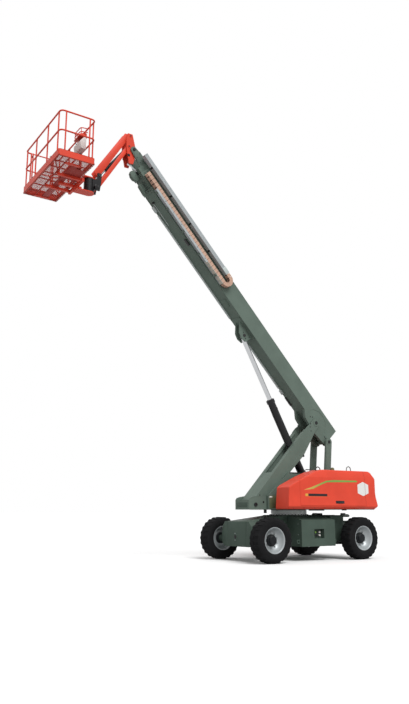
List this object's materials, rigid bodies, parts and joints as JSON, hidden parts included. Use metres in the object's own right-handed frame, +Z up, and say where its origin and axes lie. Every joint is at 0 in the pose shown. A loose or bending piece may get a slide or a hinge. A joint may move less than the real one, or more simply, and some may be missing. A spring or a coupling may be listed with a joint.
{
  "type": "telescopic boom lift",
  "caption": "Self-propelled telescopic boom lift with a jointed lifting linkage, sliding boom sections, level jib and a railed work platform.",
  "frame": {"origin": "on the ground under the slewing axis", "axes": "+Z up; the machine drives towards -Y; its left side is +X"},
  "size_m": [2.51, 9.453, 10.5901],
  "materials": {
    "frame_paint": "satin",
    "orange_paint": "gloss",
    "black_paint": "satin",
    "tyre_rubber": "matte",
    "rim_paint": "satin",
    "chrome_rod": "polished",
    "bare_steel": "satin",
    "console_plastic": "matte",
    "chain_plastic": "satin",
    "cast_weight": "matte"
  },
  "bodies": {
    "chassis": {"chassis_frame": "frame_paint", "front_axle": "frame_paint", "rear_axle": "frame_paint", "slew_ring": "bare_steel", "steer_cylinder": "black_paint"},
    "knuckle_left": {"knuckle_left": "frame_paint"},
    "knuckle_right": {"knuckle_right": "frame_paint"},
    "steer_rod": {"steer_rod": "chrome_rod"},
    "turntable": {"turntable_frame": "frame_paint", "counterweight": "cast_weight", "engine_block": "cast_weight", "cowl_left": "orange_paint", "cowl_right": "orange_paint"},
    "hood_left": {"hood_left": "orange_paint"},
    "hood_right": {"hood_right": "orange_paint"},
    "lower_arm": {"lower_arm": "frame_paint"},
    "rear_links": {"rear_links": "frame_paint"},
    "lift_barrel": {"lift_barrel": "black_paint"},
    "lift_rod": {"lift_rod": "chrome_rod"},
    "boom_base": {"boom_base": "frame_paint", "cable_tray": "bare_steel", "cable_chain": "chain_plastic"},
    "boom_mid": {"boom_mid": "frame_paint"},
    "boom_fly": {"boom_fly": "frame_paint", "cable_duct": "bare_steel"},
    "jib_knuckle": {"jib_knuckle": "orange_paint"},
    "level_barrel": {"level_barrel": "black_paint"},
    "level_rod": {"level_rod": "chrome_rod"},
    "jib_upper": {"jib_upper": "orange_paint"},
    "jib_lower": {"jib_lower": "orange_paint"},
    "jib_barrel": {"jib_barrel": "black_paint"},
    "jib_rod": {"jib_rod": "chrome_rod"},
    "jib_head": {"jib_head": "black_paint"},
    "platform": {"platform_mount": "orange_paint", "platform_floor": "orange_paint", "platform_rails": "orange_paint", "control_console": "console_plastic"},
    "gate": {"gate": "orange_paint"},
    "wheel_front_left": {"tyre_front_left": "tyre_rubber", "rim_front_left": "rim_paint"},
    "wheel_front_right": {"tyre_front_right": "tyre_rubber", "rim_front_right": "rim_paint"},
    "wheel_rear_left": {"tyre_rear_left": "tyre_rubber", "rim_rear_left": "rim_paint"},
    "wheel_rear_right": {"tyre_rear_right": "tyre_rubber", "rim_rear_right": "rim_paint"}
  },
  "joints": [
    {"name": "steer_left", "type": "hinge", "parent": "chassis", "child": "knuckle_left", "pos_m": [0.75, -1.48, 0.535], "axis": [0, 0, 1], "range_deg": [-35, 35]},
    {"name": "steer_right", "type": "hinge", "parent": "chassis", "child": "knuckle_right", "pos_m": [-0.75, -1.48, 0.535], "axis": [0, 0, 1], "range_deg": [-35.5, 35.5]},
    {"name": "steer_rod_slide", "type": "slide", "parent": "chassis", "child": "steer_rod", "axis": [-1, 0, 0], "range_m": [-0.175, 0.175]},
    {"name": "wheel_front_left_spin", "type": "hinge", "parent": "knuckle_left", "child": "wheel_front_left", "pos_m": [1.07, -1.48, 0.535], "axis": [1, 0, 0], "continuous": true},
    {"name": "wheel_front_right_spin", "type": "hinge", "parent": "knuckle_right", "child": "wheel_front_right", "pos_m": [-1.07, -1.48, 0.535], "axis": [1, 0, 0], "continuous": true},
    {"name": "wheel_rear_left_spin", "type": "hinge", "parent": "chassis", "child": "wheel_rear_left", "pos_m": [1.07, 1.48, 0.535], "axis": [1, 0, 0], "continuous": true},
    {"name": "wheel_rear_right_spin", "type": "hinge", "parent": "chassis", "child": "wheel_rear_right", "pos_m": [-1.07, 1.48, 0.535], "axis": [1, 0, 0], "continuous": true},
    {"name": "swing", "type": "hinge", "parent": "chassis", "child": "turntable", "pos_m": [0, 0, 1.185], "axis": [0, 0, 1], "continuous": true},
    {"name": "hood_left_hinge", "type": "hinge", "parent": "turntable", "child": "hood_left", "pos_m": [0.76, 0, 2.266], "axis": [0, -1, 0], "range_deg": [0, 60]},
    {"name": "hood_right_hinge", "type": "hinge", "parent": "turntable", "child": "hood_right", "pos_m": [-0.76, 0, 2.266], "axis": [0, 1, 0], "range_deg": [0, 60]},
    {"name": "lower_arm_pivot", "type": "hinge", "parent": "turntable", "child": "lower_arm", "pos_m": [0, -1.32, 1.38], "axis": [1, 0, 0], "range_deg": [-4.59, 2.94]},
    {"name": "lift", "type": "hinge", "parent": "lower_arm", "child": "boom_base", "pos_m": [0, 0.85608, 3.59101], "axis": [-1, 0, 0], "range_deg": [-51.09, 30.43]},
    {"name": "rear_link_pivot", "type": "hinge", "parent": "boom_base", "child": "rear_links", "pos_m": [0, 1.24805, 3.08417], "axis": [1, 0, 0], "range_deg": [-59.25, 35.5]},
    {"name": "lift_barrel_pivot", "type": "hinge", "parent": "turntable", "child": "lift_barrel", "pos_m": [0, 0.84, 1.6], "axis": [-1, 0, 0], "range_deg": [-28.7, 17.3]},
    {"name": "lift_rod_slide", "type": "slide", "parent": "lift_barrel", "child": "lift_rod", "axis": [0, -0.4806, 0.877], "range_m": [-1.651, 0.987]},
    {"name": "extend", "type": "slide", "parent": "boom_base", "child": "boom_mid", "axis": [0, -0.682, 0.7314], "range_m": [0, 6.6]},
    {"name": "extend_fly", "type": "slide", "parent": "boom_mid", "child": "boom_fly", "axis": [0, -0.682, 0.7314], "range_m": [-0.01, 6.61]},
    {"name": "level_knuckle", "type": "hinge", "parent": "boom_fly", "child": "jib_knuckle", "pos_m": [0, -4.92647, 10.16007], "axis": [1, 0, 0], "range_deg": [-47.5, 28.5]},
    {"name": "level_barrel_pivot", "type": "hinge", "parent": "boom_fly", "child": "level_barrel", "pos_m": [0, -4.25884, 9.34148], "axis": [-1, 0, 0], "range_deg": [-2.38, 1.62]},
    {"name": "level_rod_slide", "type": "slide", "parent": "level_barrel", "child": "level_rod", "axis": [0, -0.8337, 0.5522], "range_m": [-0.164, 0.272]},
    {"name": "jib", "type": "hinge", "parent": "jib_knuckle", "child": "jib_upper", "pos_m": [0, -5.01697, 10.53707], "axis": [-1, 0, 0], "range_deg": [0, 130]},
    {"name": "jib_lower_pivot", "type": "hinge", "parent": "jib_knuckle", "child": "jib_lower", "pos_m": [0, -5.04997, 10.23407], "axis": [-1, 0, 0], "range_deg": [-0.5, 130.5]},
    {"name": "jib_head_level", "type": "hinge", "parent": "jib_upper", "child": "jib_head", "pos_m": [0, -5.82497, 9.20307], "axis": [1, 0, 0], "range_deg": [-0.5, 130.5]},
    {"name": "jib_barrel_pivot", "type": "hinge", "parent": "jib_knuckle", "child": "jib_barrel", "pos_m": [0, -5.04997, 10.23407], "axis": [-1, 0, 0], "range_deg": [-0.5, 134.4]},
    {"name": "jib_rod_slide", "type": "slide", "parent": "jib_barrel", "child": "jib_rod", "axis": [0, -0.6009, -0.7993], "range_m": [-0.005, 0.595]},
    {"name": "platform_rotate", "type": "hinge", "parent": "jib_head", "child": "platform", "pos_m": [0, -6.03997, 8.9], "axis": [0, 0, 1], "range_deg": [-90, 90]},
    {"name": "gate_swing", "type": "hinge", "parent": "platform", "child": "gate", "pos_m": [-1.141, -6.55697, 9.5], "axis": [0, 0, 1], "range_deg": [0, 90]}
  ],
  "couplings": [
    {"joint": "steer_right", "follows": "steer_left", "ratio": 1},
    {"joint": "steer_rod_slide", "follows": "steer_left", "m_per_rad": 0.27},
    {"joint": "lower_arm_pivot", "follows": "lift", "ratio": 0.08},
    {"joint": "rear_link_pivot", "follows": "lift", "ratio": 1.15},
    {"joint": "lift_barrel_pivot", "follows": "lift", "ratio": 0.552},
    {"joint": "lift_rod_slide", "follows": "lift", "m_per_rad": 1.84},
    {"joint": "level_knuckle", "follows": "lift", "ratio": 0.92},
    {"joint": "level_barrel_pivot", "follows": "lift", "ratio": 0.0368},
    {"joint": "level_rod_slide", "follows": "lift", "m_per_rad": -0.299},
    {"joint": "extend_fly", "follows": "extend", "ratio": 1},
    {"joint": "jib_lower_pivot", "follows": "jib", "ratio": 1},
    {"joint": "jib_head_level", "follows": "jib", "ratio": 1},
    {"joint": "jib_barrel_pivot", "follows": "jib", "ratio": 1.03},
    {"joint": "jib_rod_slide", "follows": "jib", "m_per_rad": 0.26}
  ]
}
